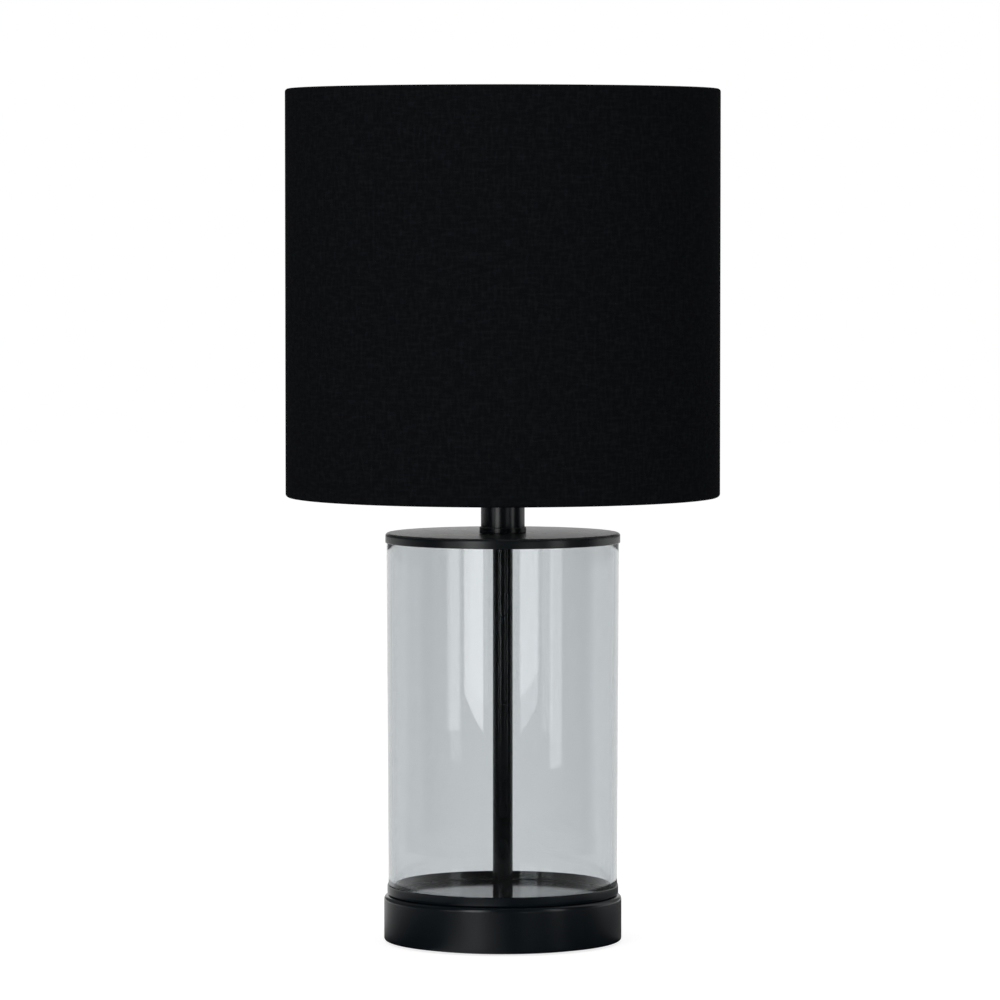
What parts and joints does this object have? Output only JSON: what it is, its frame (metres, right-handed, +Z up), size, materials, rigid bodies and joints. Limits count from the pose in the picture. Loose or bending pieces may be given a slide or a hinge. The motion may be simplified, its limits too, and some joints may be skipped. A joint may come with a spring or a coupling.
{
  "type": "glass table lamp",
  "caption": "Table lamp with a clear glass cylinder between black pressed pans, a round weighted base, a switched lampholder and a black drum shade.",
  "frame": {"origin": "middle of the felt underside, on the surface that the lamp stands on", "axes": "+Z up along the lamp's tube, -Y to the front, +X to the right, where the switch knob points"},
  "size_m": [0.2174, 0.2174, 0.4271],
  "materials": {
    "satin_black_paint": "satin",
    "black_felt": "felted",
    "zinc_plated_steel": "zinc plated",
    "cast_iron": "as cast",
    "black_rubber": "matt",
    "clear_silicone": "translucent",
    "clear_glass": "polished",
    "black_phenolic": "moulded",
    "threaded_aluminium": "rolled thread",
    "brass": "bright",
    "steel_screw": "zinc plated",
    "switch_plastic": "moulded",
    "white_wire": "white powder coat",
    "white_styrene": "smooth",
    "black_shade_cloth": "slub weave",
    "opal_glass": "opal",
    "black_glass": "vitreous",
    "tin_solder": "soldered"
  },
  "bodies": {
    "lamp_stand": {"felt_pad": "black_felt", "bottom_cover": "zinc_plated_steel", "base_shell": "satin_black_paint", "base_weight": "cast_iron", "cord_grommet": "black_rubber", "base_washer": "zinc_plated_steel", "base_nut": "zinc_plated_steel", "centre_tube": "satin_black_paint", "glass_tray": "satin_black_paint", "lower_gasket": "clear_silicone", "glass_cylinder": "clear_glass", "upper_gasket": "clear_silicone", "top_cap": "satin_black_paint", "neck_collar": "satin_black_paint", "neck_tube": "satin_black_paint", "neck_plate": "satin_black_paint", "holder_base": "black_phenolic", "holder_body": "black_phenolic", "screw_shell": "threaded_aluminium", "centre_contact": "brass", "holder_screws": "steel_screw", "switch_contacts": "brass", "shade_ring": "black_phenolic"},
    "switch": {"switch_shaft": "brass", "switch_rotor": "switch_plastic", "switch_knob": "black_phenolic"},
    "shade": {"shade_spider": "white_wire", "bottom_hoop": "white_wire", "top_hoop": "white_wire", "shade_liner": "white_styrene", "shade_fabric": "black_shade_cloth"},
    "bulb": {"bulb_globe": "opal_glass", "bulb_cap": "threaded_aluminium", "bulb_insulator": "black_glass", "bulb_contact": "tin_solder"}
  },
  "joints": [
    {"name": "switch_turn", "type": "hinge", "parent": "lamp_stand", "child": "switch", "pos_m": [0, 0, 0.2539], "axis": [1, 0, 0], "continuous": true},
    {"name": "shade_turn", "type": "hinge", "parent": "lamp_stand", "child": "shade", "pos_m": [0, 0, 0.2619], "axis": [0, 0, 1], "continuous": true},
    {"name": "bulb_lift_out", "type": "slide", "parent": "lamp_stand", "child": "bulb", "axis": [0, 0, 1], "range_m": [0, 0.165]}
  ]
}
